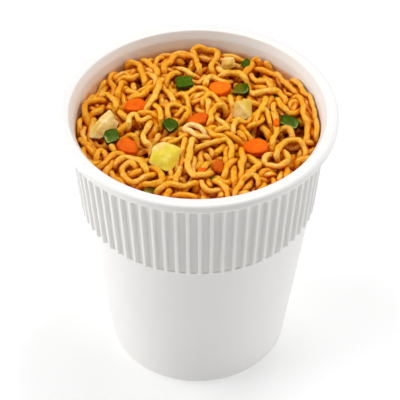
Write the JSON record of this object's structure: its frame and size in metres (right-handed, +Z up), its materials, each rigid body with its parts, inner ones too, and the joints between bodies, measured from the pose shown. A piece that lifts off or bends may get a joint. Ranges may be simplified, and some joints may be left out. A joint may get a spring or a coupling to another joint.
{
  "type": "instant noodle cup",
  "caption": "Open tapered cup with a fluted grip band and a thick rolled lip, filled near the brim with a heap of wavy stir-fried noodles, diced carrot, scallion and cabbage.",
  "frame": {"origin": "centre of the foot ring's plane, under the middle of the cup", "axes": "+Z up along the cup's axis, -Y towards the viewer in the picture, +X to the viewer's right"},
  "size_m": [0.096, 0.096, 0.103],
  "materials": {
    "cup": "satin white moulded plastic",
    "noodles": "golden brown, oily, slightly translucent",
    "carrot": "moist cut carrot",
    "scallion": "moist dark green with paler cut edges",
    "cabbage": "thin translucent cooked leaf, yellow green to cream"
  },
  "bodies": {
    "root": {"cup": "cup", "noodles": "noodles", "carrot_1": "carrot", "carrot_2": "carrot", "carrot_3": "carrot", "carrot_4": "carrot", "carrot_5": "carrot", "carrot_6": "carrot", "scallion_1": "scallion", "scallion_2": "scallion", "scallion_3": "scallion", "scallion_4": "scallion", "scallion_5": "scallion", "scallion_6": "scallion", "scallion_7": "scallion", "cabbage_1": "cabbage", "cabbage_2": "cabbage", "cabbage_3": "cabbage", "cabbage_4": "cabbage"}
  },
  "joints": []
}
